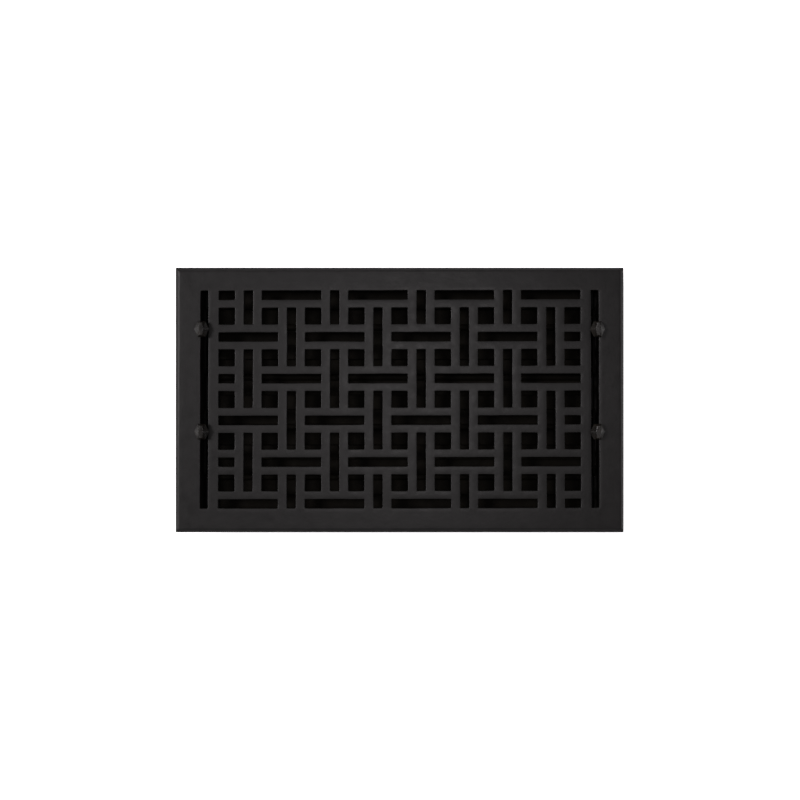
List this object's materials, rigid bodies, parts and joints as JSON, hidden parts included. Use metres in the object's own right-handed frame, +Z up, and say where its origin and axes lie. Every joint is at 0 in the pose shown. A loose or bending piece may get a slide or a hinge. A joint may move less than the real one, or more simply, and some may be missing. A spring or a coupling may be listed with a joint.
{
  "type": "cast iron floor register",
  "caption": "Rectangular cast iron floor register with a basket-weave grille over a sheet steel damper; knobs in the end slots slide to turn its louvre blades.",
  "frame": {"origin": "on the floor under the middle of the damper box, which the register stands on when it is laid down", "axes": "+X along the plate's length, +Y across it towards the upper bank of blades, +Z up out of the grille's face"},
  "size_m": [0.39, 0.2304, 0.0511],
  "materials": {
    "black_cast_iron": "satin",
    "black_sheet_steel": "satin",
    "dark_steel": "satin"
  },
  "bodies": {
    "housing": {"grille_plate": "black_cast_iron", "damper_box": "black_sheet_steel", "damper_frame": "black_sheet_steel", "spacer_sleeve_1": "dark_steel", "spacer_sleeve_2": "dark_steel", "spacer_sleeve_3": "dark_steel", "spacer_sleeve_4": "dark_steel", "frame_screw_1": "dark_steel", "frame_screw_2": "dark_steel", "frame_screw_3": "dark_steel", "frame_screw_4": "dark_steel", "box_rivet_1": "dark_steel", "box_rivet_2": "dark_steel", "box_rivet_3": "dark_steel", "box_rivet_4": "dark_steel"},
    "blade_1": {"louvre_blade_1": "black_sheet_steel", "crank_rod_1": "dark_steel"},
    "blade_2": {"louvre_blade_2": "black_sheet_steel", "crank_rod_2": "dark_steel"},
    "blade_3": {"louvre_blade_3": "black_sheet_steel", "crank_rod_3": "dark_steel"},
    "blade_4": {"louvre_blade_4": "black_sheet_steel", "crank_rod_4": "dark_steel"},
    "upper_links": {"link_bar_upper_left": "black_sheet_steel", "link_bar_upper_right": "black_sheet_steel", "knob_upper_left": "black_cast_iron", "knob_upper_right": "black_cast_iron"},
    "lower_links": {"link_bar_lower_left": "black_sheet_steel", "link_bar_lower_right": "black_sheet_steel", "knob_lower_left": "black_cast_iron", "knob_lower_right": "black_cast_iron"}
  },
  "joints": [
    {"name": "upper_damper_turn", "type": "hinge", "parent": "housing", "child": "blade_1", "pos_m": [0, 0.06456, 0.01804], "axis": [1, 0, 0], "range_deg": [0, 90]},
    {"name": "upper_second_blade_turn", "type": "hinge", "parent": "housing", "child": "blade_2", "pos_m": [0, 0.02019, 0.01804], "axis": [1, 0, 0], "range_deg": [0, 90]},
    {"name": "upper_links_swing", "type": "hinge", "parent": "blade_1", "child": "upper_links", "pos_m": [0, 0.07356, 0.02604], "axis": [1, 0, 0], "range_deg": [-90, 0]},
    {"name": "lower_damper_turn", "type": "hinge", "parent": "housing", "child": "blade_3", "pos_m": [0, -0.02419, 0.01804], "axis": [1, 0, 0], "range_deg": [0, 90]},
    {"name": "lower_second_blade_turn", "type": "hinge", "parent": "housing", "child": "blade_4", "pos_m": [0, -0.06856, 0.01804], "axis": [1, 0, 0], "range_deg": [0, 90]},
    {"name": "lower_links_swing", "type": "hinge", "parent": "blade_3", "child": "lower_links", "pos_m": [0, -0.01519, 0.02604], "axis": [1, 0, 0], "range_deg": [-90, 0]}
  ],
  "couplings": [
    {"joint": "upper_second_blade_turn", "follows": "upper_damper_turn", "ratio": 1},
    {"joint": "upper_links_swing", "follows": "upper_damper_turn", "ratio": -1},
    {"joint": "lower_second_blade_turn", "follows": "lower_damper_turn", "ratio": 1},
    {"joint": "lower_links_swing", "follows": "lower_damper_turn", "ratio": -1}
  ]
}
